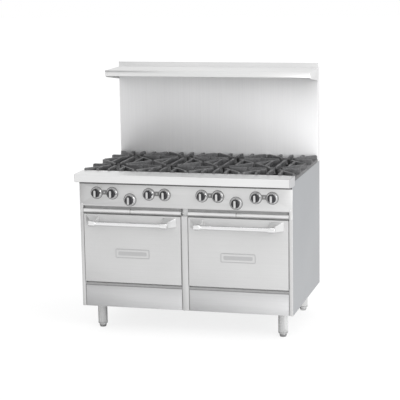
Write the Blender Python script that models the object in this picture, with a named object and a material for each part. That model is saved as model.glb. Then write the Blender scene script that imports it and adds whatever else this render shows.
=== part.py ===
"""Commercial gas range: eight open burners over two ovens, with a backguard and a high shelf.

Metres, +Z up. X runs to the viewer's right and Y to the back. The origin is on the floor, under
the middle of the range. Sheet metal is drawn SHEET thick, and pieces that touch keep GAP between
them.
"""

import math

import bmesh
import bpy
from mathutils import Vector

# Overall size
WIDTH = 1.200
DEPTH = 0.876
HEIGHT = 1.448
HALF_WIDTH = WIDTH / 2
NOSE = -DEPTH / 2
BACK = DEPTH / 2

# Drawing rules
SHEET = 0.003
GAP = 0.0004
ROUND_SIDES = 16
SMOOTH_ANGLE = math.radians(35)

# Planes across the depth
FRONT = -0.360
DOOR_FACE = FRONT - 0.006
DOOR_BACK = FRONT + 0.0335
OVEN_FLANGE = FRONT + 0.0365
FRAME_BACK = FRONT + 0.060
RAIL_REAR = -0.294
GUARD_FACE = 0.389
SHELF_FRONT = 0.138

# Levels
LEG_HEIGHT = 0.1455
KICK_BOTTOM = 0.147
KICK_TOP = 0.266
DOOR_BOTTOM = 0.289
DOOR_TOP = 0.672
TRAY_BOTTOM = 0.679
TRAY_TOP = 0.703
PANEL_BOTTOM = 0.7175
RAIL_BOTTOM = 0.8515
BODY_TOP = 0.8755
RIM_TOP = 0.892
RAIL_TOP = 0.905
GRATE_TOP = 0.915
SHELF_TOP = 1.419
SHELF_LIP = 0.033

# Front layout
STILE = 0.0185
CENTRE_STILE = 0.017
OVEN_X = 0.2995
DOOR_HALF = 0.2773
SECTION = 0.300
SECTION_X = [SECTION * (i - 1.5) for i in range(4)]
KNOB_SPREAD = 0.045
KNOB_SHIFT = -0.005
KNOB_Z = 0.791
DIAL_Z = 0.757
GRATE_LENGTH = 0.339
GRATE_FRONT = RAIL_REAR + 0.0015
GRATE_REAR = GUARD_FACE - 0.0025
GRATE_ROWS = {
    "front": (GRATE_FRONT, GRATE_FRONT + GRATE_LENGTH),
    "rear": (GRATE_REAR - GRATE_LENGTH, GRATE_REAR),
}
SIDES = {"left": -1, "right": 1}
DIAL_SHIFT = -0.0085  # the dials and tray seams sit a little left of each oven's middle
DIAL_X = {side: sign * OVEN_X + DIAL_SHIFT for side, sign in SIDES.items()}

# Oven cavity: 20 x 26 x 13 inches
OVEN_HALF = 0.254
OVEN_FLOOR = 0.318
OVEN_CEILING = 0.648
OVEN_REAR = 0.346
OVEN_WALL = 0.004
RACK_Z = 0.480
RACK_WIRE = 0.005

# Door hinge axis, and the other moving pieces
HINGE_Y = FRONT + 0.008
HINGE_Z = DOOR_BOTTOM + 0.010
HANDLE_BOSS = 0.017
BOSS_LENGTH = 0.043
HANDLE_Y = NOSE + HANDLE_BOSS
HANDLE_Z = 0.629
HANDLE_TUBE = 0.0125
HANDLE_HALF = 0.2245
HANDLE_SHIFT = -0.006
STEM = 0.0045
STEM_END = FRONT - 0.0195
LEG_X = 0.522
LEG_Y = {"front": -0.252, "rear": 0.327}
LEG_RADIUS = 0.0262
FOOT_RADIUS = 0.0205
FOOT_REVEAL = 0.019

# Gas pipework
PIPE = 0.0134
PIPE_Y = -0.312
PIPE_Z = 0.7175
PIPE_REAR_X = 0.572
RISER = 0.0065
BURNER_TUBE = 0.018

FINISHES = {
    "stainless": ((0.62, 0.63, 0.64), 0.34, 1.0),
    "galvanised": ((0.46, 0.48, 0.50), 0.50, 1.0),
    "cast_iron": ((0.060, 0.060, 0.064), 0.62, 0.4),
    "burner_iron": ((0.10, 0.095, 0.09), 0.70, 0.5),
    "enamel": ((0.035, 0.036, 0.045), 0.25, 0.0),
    "chrome": ((0.80, 0.80, 0.82), 0.12, 1.0),
    "brass": ((0.62, 0.46, 0.22), 0.35, 1.0),
    "knob_black": ((0.030, 0.030, 0.033), 0.38, 0.0),
}


def placed(u, v, along, axis):
    """The world point at (u, v) across an axis and `along` it."""
    if axis == "x":
        return Vector((along, u, v))
    if axis == "y":
        return Vector((u, along, v))
    return Vector((u, v, along))


def solid(bm):
    """A loose object made from a bmesh, with its faces turned outwards."""
    bmesh.ops.recalc_face_normals(bm, faces=bm.faces)
    mesh = bpy.data.meshes.new("shape")
    bm.to_mesh(mesh)
    bm.free()
    piece = bpy.data.objects.new("shape", mesh)
    bpy.context.scene.collection.objects.link(piece)
    return piece


def extrusion(outline, axis, low, high):
    """A flat outline carried along an axis from low to high."""
    bm = bmesh.new()
    near = [bm.verts.new(placed(u, v, low, axis)) for u, v in outline]
    far = [bm.verts.new(placed(u, v, high, axis)) for u, v in outline]
    bm.faces.new(near)
    bm.faces.new(far)
    for i in range(len(outline)):
        j = (i + 1) % len(outline)
        bm.faces.new((near[i], near[j], far[j], far[i]))
    return solid(bm)


def block(x0, x1, y0, y1, z0, z1):
    return extrusion([(x0, y0), (x1, y0), (x1, y1), (x0, y1)], "z", z0, z1)


def turned(profile, centre, axis, sides=ROUND_SIDES):
    """A profile of (radius, distance along the axis) turned about the axis through a point.

    A profile that starts on the axis makes a plain body, and any other profile is a closed loop
    that makes a ring.
    """
    bm = bmesh.new()
    rings = []
    for radius, along in profile:
        count = sides if radius > 0 else 1
        angles = [2 * math.pi * (i + 0.5) / sides for i in range(count)]
        rings.append([
            bm.verts.new(centre + placed(radius * math.cos(a), radius * math.sin(a), along, axis))
            for a in angles
        ])
    pairs = list(zip(rings, rings[1:]))
    if profile[0][0] > 0:
        pairs.append((rings[-1], rings[0]))
    for low, high in pairs:
        for i in range(sides):
            j = (i + 1) % sides
            corners = (low[i % len(low)], low[j % len(low)], high[j % len(high)], high[i % len(high)])
            corners = list(dict.fromkeys(corners))
            if len(corners) > 2:
                bm.faces.new(corners)
    return solid(bm)


def rod(start, end, radius, axis, sides=ROUND_SIDES):
    """A plain round bar between two points on one axis."""
    length = (end - start).length
    low = start if sum(end - start) > 0 else end
    return turned([(0, 0), (radius, 0), (radius, length), (0, length)], low, axis, sides)


def thickened(path, thickness):
    """A closed outline around a folded sheet whose outer face follows the path."""
    points = [Vector(p) for p in path]
    ways = [(b - a).normalized() for a, b in zip(points, points[1:])]
    normals = [Vector((-w.y, w.x)) for w in ways]
    inner = [points[0] + normals[0] * thickness]
    for point, before, after in zip(points[1:], normals, normals[1:]):
        mitre = (before + after).normalized()
        inner.append(point + mitre * thickness / mitre.dot(after))
    inner.append(points[-1] + normals[-1] * thickness)
    return [tuple(p) for p in points + inner[::-1]]


def arc(centre, radius, start, end, steps):
    """Points on an arc, from one angle to another in degrees."""
    angles = [math.radians(start + (end - start) * i / steps) for i in range(steps + 1)]
    return [(centre[0] + radius * math.cos(a), centre[1] + radius * math.sin(a)) for a in angles]


def apply_boolean(target, other, operation, solver="EXACT"):
    modifier = target.modifiers.new(operation.title(), "BOOLEAN")
    modifier.operation = operation
    modifier.solver = solver
    modifier.object = other
    graph = bpy.context.evaluated_depsgraph_get()
    result = bpy.data.meshes.new_from_object(target.evaluated_get(graph))
    target.modifiers.clear()
    target.data = result
    bpy.data.objects.remove(other)


def union(first, *others, solver="EXACT"):
    for other in others:
        apply_boolean(first, other, "UNION", solver)
    return first


def difference(first, *cutters):
    for cutter in cutters:
        apply_boolean(first, cutter, "DIFFERENCE")
    return first


def finish_material(name):
    material = bpy.data.materials.get(name)
    if material:
        return material
    colour, roughness, metallic = FINISHES[name]
    material = bpy.data.materials.new(name)
    material.use_nodes = True
    shader = material.node_tree.nodes["Principled BSDF"]
    shader.inputs["Base Color"].default_value = (*colour, 1.0)
    shader.inputs["Roughness"].default_value = roughness
    shader.inputs["Metallic"].default_value = metallic
    material.diffuse_color = (*colour, 1.0)
    return material


def part(name, piece, finish, origin=(0, 0, 0), parent=None):
    """Name a finished solid, give it its material, and put its origin where it turns or stands."""
    piece.name = piece.data.name = name
    offset = Vector(origin)
    for vertex in piece.data.vertices:
        vertex.co -= offset
    piece.data.materials.clear()
    piece.data.materials.append(finish_material(finish))
    piece.data.shade_smooth()
    piece.data.set_sharp_from_angle(angle=SMOOTH_ANGLE)
    piece.location = offset
    if parent:
        piece.parent = parent
        piece.location = offset - parent.location
    return piece


def copy_of(original, name, location, turn=0.0):
    piece = bpy.data.objects.new(name, original.data)
    bpy.context.scene.collection.objects.link(piece)
    piece.location = location
    piece.rotation_euler.z = turn
    return piece


# ------------------------------------------------------------------ body panels and frames


def side_panels():
    """Flat side sheets, stepped down at the front where the plate rail's end cap sits."""
    front = FRONT + SHEET + 0.0014
    outline = [
        (front, LEG_HEIGHT),
        (BACK, LEG_HEIGHT),
        (BACK, BODY_TOP),
        (RAIL_REAR + GAP, BODY_TOP),
        (RAIL_REAR + GAP, RAIL_BOTTOM - GAP),
        (front, RAIL_BOTTOM - GAP),
    ]
    for side, sign in SIDES.items():
        outer, inner = sign * HALF_WIDTH, sign * (HALF_WIDTH - SHEET)
        sheet = extrusion(outline, "x", min(outer, inner), max(outer, inner))
        part(f"side_panel_{side}", sheet, "stainless")


def rear_panel():
    """Back sheet with the hole that the gas inlet comes through."""
    inside = HALF_WIDTH - SHEET - GAP
    sheet = block(-inside, inside, BACK - SHEET, BACK, LEG_HEIGHT + GAP, BODY_TOP)
    inlet = Vector((PIPE_REAR_X, BACK, PIPE_Z))
    reach = Vector((0, 0.02, 0))
    hole = rod(inlet - reach, inlet + reach, PIPE + 0.002, "y")
    part("rear_panel", difference(sheet, hole), "galvanised")


def base_frame():
    """Bottom pan with turned-up edges and air slots under the two oven burners."""
    inside = HALF_WIDTH - SHEET - GAP
    front, rear = FRAME_BACK + GAP, BACK - SHEET - GAP
    floor = LEG_HEIGHT + SHEET
    rim = floor + 0.024
    pan = block(-inside, inside, front, rear, LEG_HEIGHT, rim)
    hollow = block(-inside + SHEET, inside - SHEET, front + SHEET, rear - SHEET, floor, rim + 0.01)
    slots = [
        block(sign * OVEN_X - 0.055, sign * OVEN_X + 0.055, y, y + 0.012, LEG_HEIGHT - 0.01, rim)
        for sign in SIDES.values()
        for y in (-0.18, -0.14, 0.16, 0.20)
    ]
    part("base_frame", difference(pan, hollow, *slots), "galvanised")


def front_frame():
    """Stiles and cross members that the doors and the front skins are hung on."""
    low = LEG_HEIGHT + GAP
    stile_top = TRAY_BOTTOM - 0.0035
    web = FRONT + SHEET + 0.001
    inside = HALF_WIDTH - SHEET - GAP
    member_front = FRONT + 0.040
    frame = block(-CENTRE_STILE, CENTRE_STILE, FRONT, FRAME_BACK, low, stile_top)
    middle = (KICK_TOP + 0.001, OVEN_FLOOR - 0.0065)
    for z0, z1 in ((low, 0.175), middle, (OVEN_CEILING + 0.006, 0.668)):
        frame = union(frame, block(-inside, inside, member_front, FRAME_BACK, z0, z1))
    ledge = block(-inside, inside, FRONT + 0.006, member_front + 0.001, middle[0], DOOR_BOTTOM - 0.0085)
    frame = union(frame, ledge)
    for sign in SIDES.values():
        edges = sorted((sign * (HALF_WIDTH - STILE), sign * inside))
        skin = sorted((sign * (HALF_WIDTH - STILE), sign * HALF_WIDTH))
        frame = union(
            frame,
            block(*edges, FRONT + 0.001, FRAME_BACK, low, stile_top),
            block(*skin, FRONT, web, low, stile_top),
        )
    divider = block(-CENTRE_STILE, CENTRE_STILE, FRONT + 0.020, FRONT + 0.0238,
                    stile_top - 0.005, PANEL_BOTTOM - 0.001)
    part("front_frame", union(frame, divider), "stainless")


def burner_positions():
    """Knob centres across the panel: a pair for each 12 inch section."""
    return [centre + KNOB_SHIFT + side * KNOB_SPREAD for centre in SECTION_X for side in (-1, 1)]


def valve_panel():
    """Control panel with a hole for each tap and two ears that run down beside the drip trays."""
    inside = HALF_WIDTH - SHEET - GAP
    sheet = block(-HALF_WIDTH, HALF_WIDTH, FRONT, FRONT + SHEET, PANEL_BOTTOM, RAIL_BOTTOM - 0.001)
    fold = block(-inside, inside, FRONT + 0.001, FRONT + 0.0135, PANEL_BOTTOM, PANEL_BOTTOM + SHEET)
    panel = union(sheet, fold)
    for sign in SIDES.values():
        edges = sorted((sign * (HALF_WIDTH - STILE), sign * HALF_WIDTH))
        ear = block(*edges, FRONT, FRONT + SHEET, TRAY_BOTTOM - 0.003, PANEL_BOTTOM + 0.01)
        panel = union(panel, ear)
    stems = [(x, KNOB_Z) for x in burner_positions()]
    stems += [(x, DIAL_Z) for x in DIAL_X.values()]
    for x, z in stems:
        hole = rod(Vector((x, FRONT - 0.01, z)), Vector((x, FRONT + 0.01, z)), STEM + 0.003, "y", 8)
        panel = difference(panel, hole)
    part("valve_panel", panel, "stainless")


def rail_outline():
    """Outer face of the plate rail, from its rear top edge round the nose to its bottom edge."""
    nose = 0.011
    top = arc((NOSE + nose, RAIL_TOP - nose), nose, 90, 180, 4)
    chin = arc((NOSE + nose, 0.875), nose, 180, 248, 3)
    rear = [(RAIL_REAR, RAIL_TOP - 0.036), (RAIL_REAR, RAIL_TOP)]
    return [*rear, *top, *chin, (FRONT - 0.001, RAIL_BOTTOM)]


def front_rail():
    """Plate rail: a folded sheet with a rounded nose, closed by a cap at each end."""
    path = rail_outline()
    rail = extrusion(thickened(path, SHEET), "x", -HALF_WIDTH + 0.001, HALF_WIDTH - 0.001)
    cap = path + [(RAIL_REAR, RAIL_BOTTOM)]
    for sign in SIDES.values():
        low, high = sorted((sign * HALF_WIDTH, sign * (HALF_WIDTH - SHEET)))
        rail = union(rail, extrusion(cap, "x", low, high))
    part("front_rail", rail, "stainless")


def backguard():
    """Hollow riser behind the burners, open at both ends to carry the oven flues."""
    top = SHELF_TOP - SHEET - GAP
    riser = block(-HALF_WIDTH, HALF_WIDTH, GUARD_FACE, BACK, BODY_TOP + GAP, top)
    duct = block(-HALF_WIDTH + SHEET, HALF_WIDTH - SHEET, GUARD_FACE + SHEET, BACK - SHEET,
                 BODY_TOP - 0.01, top + 0.01)
    part("backguard", difference(riser, duct), "stainless")


def high_shelf():
    """Plate shelf with a front lip, sloping end gussets, an upstand, and flue slots behind it."""
    lip_bottom = SHELF_TOP - SHELF_LIP
    half = HALF_WIDTH + 0.002
    gusset_rear = GUARD_FACE - GAP
    path = [(SHELF_FRONT + 0.012, lip_bottom), (SHELF_FRONT, lip_bottom),
            (SHELF_FRONT, SHELF_TOP), (BACK, SHELF_TOP)]
    shelf = extrusion(thickened(path, -SHEET), "x", -half, half)
    upstand = GUARD_FACE + 0.006
    shelf = union(shelf, block(-half, half, upstand, upstand + SHEET, SHELF_TOP - 0.002, HEIGHT))
    gusset = [
        (SHELF_FRONT, lip_bottom),
        (SHELF_FRONT, SHELF_TOP),
        (gusset_rear, SHELF_TOP),
        (gusset_rear, SHELF_TOP - 0.072),
        (SHELF_FRONT + 0.022, lip_bottom - 0.008),
    ]
    for sign in SIDES.values():
        low, high = sorted((sign * half, sign * (half - SHEET)))
        shelf = union(shelf, extrusion(gusset, "x", low, high))
    slots = [
        block(x - 0.11, x + 0.11, upstand + 0.012, BACK - 0.010, SHELF_TOP - 0.02, SHELF_TOP + 0.02)
        for x in SECTION_X
    ]
    part("high_shelf", difference(shelf, *slots), "stainless")


def kick_panels():
    """Lower front panels under the doors, lifted off to reach the oven burners."""
    low = KICK_BOTTOM
    path = [(FRONT + 0.014, low), (FRONT, low), (FRONT, KICK_TOP), (FRONT + 0.018, KICK_TOP)]
    outline = thickened(path, -SHEET)
    for side, sign in SIDES.items():
        centre = sign * OVEN_X
        panel = extrusion(outline, "x", centre - DOOR_HALF, centre + DOOR_HALF)
        part(f"kick_panel_{side}", panel, "stainless", (centre, FRONT, low))


# ------------------------------------------------------------------ cooktop


def burner_box():
    """Open frame under the grates: walls, section partitions, and bars that carry the burners."""
    inside = HALF_WIDTH - SHEET - GAP
    front, rear = RAIL_REAR + 0.001, GUARD_FACE - 0.001
    low, top = 0.735, BODY_TOP - GAP
    wall = 0.006
    frame = block(-inside, inside, front, front + wall, low, top)
    frame = union(frame, block(-inside, inside, rear - wall, rear, low, top))
    for x in (-inside + wall / 2, -SECTION, 0.0, SECTION, inside - wall / 2):
        frame = union(frame, block(x - wall / 2, x + wall / 2, front + 0.001, rear - 0.001, low, top))
    middle = (GRATE_FRONT + GRATE_REAR) / 2
    tube_rest = KNOB_Z - BURNER_TUBE - GAP
    bars = [(middle, top - 0.024, top), (-0.245, 0.760, tube_rest), (0.300, 0.760, tube_rest)]
    for y, z0, z1 in bars:
        frame = union(frame, block(-inside + 0.001, inside - 0.001, y - 0.005, y + 0.005, z0, z1))
    for x in burner_positions():
        hole = rod(Vector((x, front - 0.01, KNOB_Z)), Vector((x, front + 0.02, KNOB_Z)), 0.012, "y", 8)
        frame = difference(frame, hole)
    part("burner_box", frame, "galvanised")


def heat_shield():
    """Deck over the ovens that the drip trays slide on."""
    inside = HALF_WIDTH - SHEET - GAP
    sheet = block(-inside, inside, FRONT + 0.0405, 0.380, TRAY_BOTTOM - 0.001, TRAY_BOTTOM + 0.002)
    part("heat_shield", sheet, "galvanised")


def gas_manifold():
    """Supply pipe behind the valve panel, with a tap for each burner and one for each oven."""
    left = Vector((-0.53, PIPE_Y, PIPE_Z))
    corner = Vector((PIPE_REAR_X, PIPE_Y, PIPE_Z))
    elbow_end = corner + Vector((PIPE, 0, 0))
    inlet = Vector((PIPE_REAR_X, BACK - 0.001, PIPE_Z))
    pipe = rod(left, elbow_end, PIPE, "x", 10)
    pipe = union(pipe, rod(corner, inlet, PIPE - 0.0002, "y", 10))
    for x in burner_positions():
        tap = Vector((x, FRONT + 0.008, KNOB_Z))
        tip = STEM_END - tap.y
        stem = [(0, tip), (STEM, tip), (STEM, 0.0)]
        body = [(0.010, 0.001), (0.010, 0.050), (0.006, 0.072), (0, 0.072)]
        riser = rod(Vector((x, PIPE_Y, PIPE_Z)), Vector((x, PIPE_Y, KNOB_Z)), RISER, "z", 6)
        pipe = union(pipe, riser, turned(stem + body, tap, "y", 6))
    for x in DIAL_X.values():
        dial = Vector((x, FRONT + 0.006, DIAL_Z))
        tip = STEM_END - dial.y
        stem = [(0, tip), (STEM, tip), (STEM, 0.0)]
        body = [(0.018, 0.001), (0.018, 0.046), (0, 0.046)]
        riser = rod(Vector((x, PIPE_Y, PIPE_Z)), Vector((x, PIPE_Y, DIAL_Z)), RISER, "z", 8)
        pipe = union(pipe, riser, turned(stem + body, dial, "y", 8))
    part("gas_manifold", pipe, "galvanised")


def burner_castings():
    """Twin burners: a front and a rear head, each with its own mixing tube, tied by a web."""
    for number, centre in enumerate(SECTION_X, start=1):
        casting = None
        for row, side in (("rear", -1), ("front", 1)):
            head_y = sum(GRATE_ROWS[row]) / 2
            tube_x = centre + KNOB_SHIFT + side * KNOB_SPREAD
            base = [(0, 0), (0.030, 0), (0.034, 0.022)]
            cap = [(0.048, 0.030), (0.048, 0.040), (0.022, 0.052), (0, 0.052)]
            head = turned(base + cap, Vector((centre, head_y, KNOB_Z + 0.010)), "z", 12)
            mouth = Vector((tube_x, RAIL_REAR + 0.030, KNOB_Z))
            tube = rod(mouth, Vector((tube_x, head_y + 0.012, KNOB_Z)), BURNER_TUBE, "y", 8)
            neck = block(min(centre, tube_x) - 0.012, max(centre, tube_x) + 0.012,
                         head_y - 0.011, head_y + 0.011, KNOB_Z - 0.012, KNOB_Z + 0.014)
            lump = union(head, neck, tube)
            casting = union(casting, lump) if casting else lump
        left = centre + KNOB_SHIFT - KNOB_SPREAD
        web = block(left, left + 2 * KNOB_SPREAD, -0.215, -0.205, KNOB_Z - 0.006, KNOB_Z + 0.006)
        part(f"burner_casting_{number}", union(casting, web), "burner_iron", (centre, 0, KNOB_Z))


def grate_bowl(half_x, half_y):
    """Rim and sloping bowl of a grate: one closed band swept round from a rectangle to a circle."""
    rim_top, rim_low = RIM_TOP, BODY_TOP + GAP
    rim_width, hole = 0.012, 0.070
    per_side = 4
    across = [-1 + 2 * i / per_side for i in range(per_side)]
    square = [(a, -1) for a in across] + [(1, a) for a in across]
    square += [(-a, 1) for a in across] + [(-1, -a) for a in across]

    def edge(inset, z):
        return [Vector((u * (half_x - inset), v * (half_y - inset), z)) for u, v in square]

    def circle(z):
        spots = [Vector((u * half_x, v * half_y, 0)).normalized() * hole for u, v in square]
        return [Vector((s.x, s.y, z)) for s in spots]

    loops = [edge(0, rim_low), edge(0, rim_top), edge(rim_width, rim_top),
             circle(rim_top - 0.020), circle(rim_top - 0.026), edge(rim_width, rim_low)]
    bm = bmesh.new()
    rings = [[bm.verts.new(p) for p in loop] for loop in loops]
    for low, high in zip(rings, rings[1:] + rings[:1]):
        for i in range(len(low)):
            j = (i + 1) % len(low)
            bm.faces.new((low[i], low[j], high[j], high[i]))
    return solid(bm)


def grate_rib(start, end, over_hole):
    """A finger from the rim towards the burner, deep over the bowl and shallow over the hole."""
    half = 0.0065
    start, end = Vector(start), Vector(end)
    way = (end - start).normalized()
    across = Vector((-way.y, way.x)) * half
    length = (end - start).length
    rim_z, bowl_z, tip_z = RIM_TOP - 0.004, RIM_TOP - 0.023, GRATE_TOP - 0.012
    profile = [(0, rim_z), (0, GRATE_TOP - 0.004), (0.006, GRATE_TOP), (length - 0.006, GRATE_TOP),
               (length, GRATE_TOP - 0.004), (length, tip_z)]
    if over_hole:
        profile += [(length - over_hole, bowl_z)]
    profile += [(0.014, rim_z)]
    bm = bmesh.new()
    sides = []
    for sign in (-1, 1):
        flat = [start + way * s + across * sign for s, _ in profile]
        sides.append([bm.verts.new((p.x, p.y, z)) for p, (_, z) in zip(flat, profile)])
        bm.faces.new(sides[-1])
    near, far = sides
    for i in range(len(profile)):
        j = (i + 1) % len(profile)
        bm.faces.new((near[i], near[j], far[j], far[i]))
    return solid(bm)


def grates():
    """Eight cast grates with bowls. All share one mesh, and the front row is turned end for end."""
    half_x, half_y = SECTION / 2 - 0.0015, GRATE_LENGTH / 2
    grate = grate_bowl(half_x, half_y)
    edge = 0.0006
    x, y = half_x - edge, half_y - edge
    corner = Vector((x, y)).normalized()
    ribs = []
    for u in (-1, 1):
        ribs.append(grate_rib((u * x, 0), (u * 0.044, 0), 0.030))
        ribs.append(grate_rib((0, u * y), (0, u * 0.044), 0.030))
        for v in (-1, 1):
            ribs.append(grate_rib((u * (x - 0.006), v * (y - 0.006)),
                                  (u * corner.x * 0.052, v * corner.y * 0.052), 0.022))
            ribs.append(grate_rib((u * 0.065, v * y), (u * 0.065, v * 0.078), 0.0))
    grate = union(grate, *ribs, solver="MANIFOLD")
    first = part("grate_rear_1", grate, "cast_iron")
    for row, (low, high) in GRATE_ROWS.items():
        for number, centre in enumerate(SECTION_X, start=1):
            place = (centre, (low + high) / 2, 0)
            name = f"grate_{row}_{number}"
            if name == first.name:
                first.location = place
            else:
                copy_of(first, name, place, math.pi if row == "front" else 0.0)


def drip_trays():
    """Shallow trays with a rolled front bar, two side by side over each oven."""
    radius = (TRAY_TOP - TRAY_BOTTOM) / 2
    middle_z = (TRAY_TOP + TRAY_BOTTOM) / 2
    bar_y = FRONT + 0.0055
    rear = 0.372
    inner, outer, seam = CENTRE_STILE + 0.003, HALF_WIDTH - STILE - 0.0025, 0.0003
    spans = [
        (-outer, DIAL_X["left"] - seam),
        (DIAL_X["left"] + seam, -inner),
        (inner, DIAL_X["right"] - seam),
        (DIAL_X["right"] + seam, outer),
    ]
    for number, (x0, x1) in enumerate(spans, start=1):
        bar = arc((bar_y, middle_z), radius, 90, 270, 6)
        bar += [(bar_y + 0.012, TRAY_BOTTOM), (bar_y + 0.012, TRAY_TOP)]
        tray = extrusion(bar, "x", x0, x1)
        floor = TRAY_BOTTOM + 0.0026
        pan = block(x0 + 0.003, x1 - 0.003, bar_y + 0.010, rear, floor, TRAY_TOP - 0.002)
        hollow = block(x0 + 0.006, x1 - 0.006, bar_y + 0.016, rear - SHEET, floor + 0.002, TRAY_TOP + 0.01)
        tray = difference(union(tray, pan), hollow)
        part(f"drip_tray_{number}", tray, "stainless", ((x0 + x1) / 2, bar_y, middle_z))


# ------------------------------------------------------------------ knobs


def knob_shape(radius, depth, grip):
    """A round knob about the origin with a blind stem hole behind and a grip bar across its face."""
    bore = STEM + 0.0004
    body = turned(
        [(0, 0), (radius - 0.004, 0), (radius, 0.004), (radius + 0.001, depth), (bore, depth),
         (bore, 0.006), (0, 0.006)],
        Vector((0, 0, 0)), "y",
    )
    half = radius - 0.005
    bar = extrusion([(-0.0055, -half), (0.0055, -half), (0.0055, half), (-0.0055, half)], "y", -grip, 0.003)
    return union(body, bar)


def knobs():
    """Burner knobs in pairs over each section, and a thermostat dial over each oven."""
    back = FRONT - 0.0145
    depth, grip = 0.012, 0.012
    front = back - depth
    first = part("burner_knob_1", knob_shape(0.025, depth, grip), "knob_black")
    for number, x in enumerate(burner_positions(), start=1):
        if number == 1:
            first.location = (x, front, KNOB_Z)
        else:
            copy_of(first, f"burner_knob_{number}", (x, front, KNOB_Z))
    dial = part("oven_dial_left", knob_shape(0.027, depth, grip), "knob_black")
    dial.location = (DIAL_X["left"], front, DIAL_Z)
    copy_of(dial, "oven_dial_right", (DIAL_X["right"], front, DIAL_Z))


# ------------------------------------------------------------------ ovens


def oven_liners():
    """Oven boxes, open at the front, with a flange at the mouth and two rack ledges on each side."""
    for side, sign in SIDES.items():
        c = sign * OVEN_X
        flange = block(c - 0.280, c + 0.280, OVEN_FLANGE, OVEN_FLANGE + SHEET, 0.294, 0.668)
        shell = block(c - OVEN_HALF - OVEN_WALL, c + OVEN_HALF + OVEN_WALL, OVEN_FLANGE + 0.001,
                      OVEN_REAR + OVEN_WALL, OVEN_FLOOR - OVEN_WALL, OVEN_CEILING + OVEN_WALL)
        cavity = block(c - OVEN_HALF, c + OVEN_HALF, OVEN_FLANGE - 0.01, OVEN_REAR,
                       OVEN_FLOOR, OVEN_CEILING)
        liner = difference(union(flange, shell), cavity)
        for edge in (-1, 1):
            wall = c + edge * OVEN_HALF
            x0, x1 = sorted((wall + edge * 0.001, wall - edge * 0.012))
            rest = RACK_Z - RACK_WIRE / 2 - GAP
            ledge = block(x0, x1, -0.280, OVEN_REAR - 0.020, RACK_Z - 0.005, rest)
            liner = union(liner, ledge)
        part(f"oven_liner_{side}", liner, "enamel")


def oven_racks():
    """Wire rack: a frame with cross wires, lying on the ledges."""
    half_x = OVEN_HALF - 0.004
    y0, y1 = -0.285, OVEN_REAR - 0.006
    wire = RACK_WIRE / 2
    for side, sign in SIDES.items():
        c = sign * OVEN_X
        rack = block(c - half_x, c + half_x, y0, y0 + RACK_WIRE, RACK_Z - wire, RACK_Z + wire)
        for y in (y1 - RACK_WIRE, (y0 + y1) / 2):
            bar = block(c - half_x, c + half_x, y, y + RACK_WIRE, RACK_Z - wire, RACK_Z + wire)
            rack = union(rack, bar)
        wires = 8
        for i in range(wires + 1):
            x = c - half_x + wire + (2 * half_x - RACK_WIRE) * i / wires
            rack = union(rack, block(x - wire, x + wire, y0 + 0.001, y1 - 0.001,
                                     RACK_Z - wire + 0.0002, RACK_Z + wire - 0.0002))
        part(f"oven_rack_{side}", rack, "chrome")


def oven_burners():
    """Straight tube burner under each oven floor, on two feet that stand on the bottom pan."""
    z = 0.232
    floor = LEG_HEIGHT + SHEET + GAP
    for side, sign in SIDES.items():
        c = sign * OVEN_X
        tube = rod(Vector((c, -0.240, z)), Vector((c, 0.260, z)), 0.022, "y", 12)
        for y in (-0.19, 0.23):
            tube = union(tube, block(c - 0.040, c + 0.040, y - 0.006, y + 0.006, floor, z))
        part(f"oven_burner_{side}", tube, "burner_iron", (c, 0, z))


def doors():
    """Each door is a face pan, a liner that plugs the oven mouth, and a tube handle."""
    for side, sign in SIDES.items():
        c = sign * OVEN_X
        hinge = bpy.data.objects.new(f"door_{side}_hinge", None)
        bpy.context.scene.collection.objects.link(hinge)
        hinge.location = (c, HINGE_Y, HINGE_Z)
        origin = tuple(hinge.location)
        inside = DOOR_HALF - SHEET
        shell = block(c - DOOR_HALF, c + DOOR_HALF, DOOR_FACE, DOOR_BACK, DOOR_BOTTOM, DOOR_TOP)
        hollow = block(c - inside, c + inside, DOOR_FACE + SHEET, DOOR_BACK + 0.01,
                       DOOR_BOTTOM + SHEET, DOOR_TOP - SHEET)
        part(f"door_{side}_shell", difference(shell, hollow), "stainless", origin, hinge)
        part(f"door_{side}_liner", door_liner(c), "enamel", origin, hinge)
        part(f"door_{side}_handle", door_handle(c + HANDLE_SHIFT), "chrome", origin, hinge)


def door_liner(c):
    """Back sheet inside the door pan, with a hollow plug that stands into the oven mouth."""
    margin = SHEET + GAP
    half = DOOR_HALF - margin
    plate = block(c - half, c + half, DOOR_BACK - SHEET, DOOR_BACK, DOOR_BOTTOM + margin, DOOR_TOP - margin)
    plug_half, low, high = OVEN_HALF - 0.008, OVEN_FLOOR + 0.008, OVEN_CEILING - 0.012
    plug_back = DOOR_BACK + 0.0265
    plug = block(c - plug_half, c + plug_half, DOOR_BACK - 0.001, plug_back, low, high)
    hollow = block(c - plug_half + SHEET, c + plug_half - SHEET, DOOR_BACK - 0.02, plug_back - SHEET,
                   low + SHEET, high - SHEET)
    return difference(union(plate, plug), hollow)


def door_handle(c):
    """Tube between two cast brackets that widen towards the door."""
    tube = rod(Vector((c - HANDLE_HALF + 0.004, HANDLE_Y, HANDLE_Z)),
               Vector((c + HANDLE_HALF - 0.004, HANDLE_Y, HANDLE_Z)), HANDLE_TUBE, "x")
    for sign in (-1, 1):
        start = min(c + sign * (HANDLE_HALF - BOSS_LENGTH), c + sign * HANDLE_HALF)
        waist, ease = HANDLE_BOSS - 0.002, 0.006
        profile = [(0, 0), (waist, 0), (HANDLE_BOSS, ease), (HANDLE_BOSS, BOSS_LENGTH - ease),
                   (waist, BOSS_LENGTH), (0, BOSS_LENGTH)]
        boss = turned(profile, Vector((start, HANDLE_Y, HANDLE_Z)), "x")
        tube = union(tube, boss, handle_bracket(c, sign))
    return tube


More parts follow.
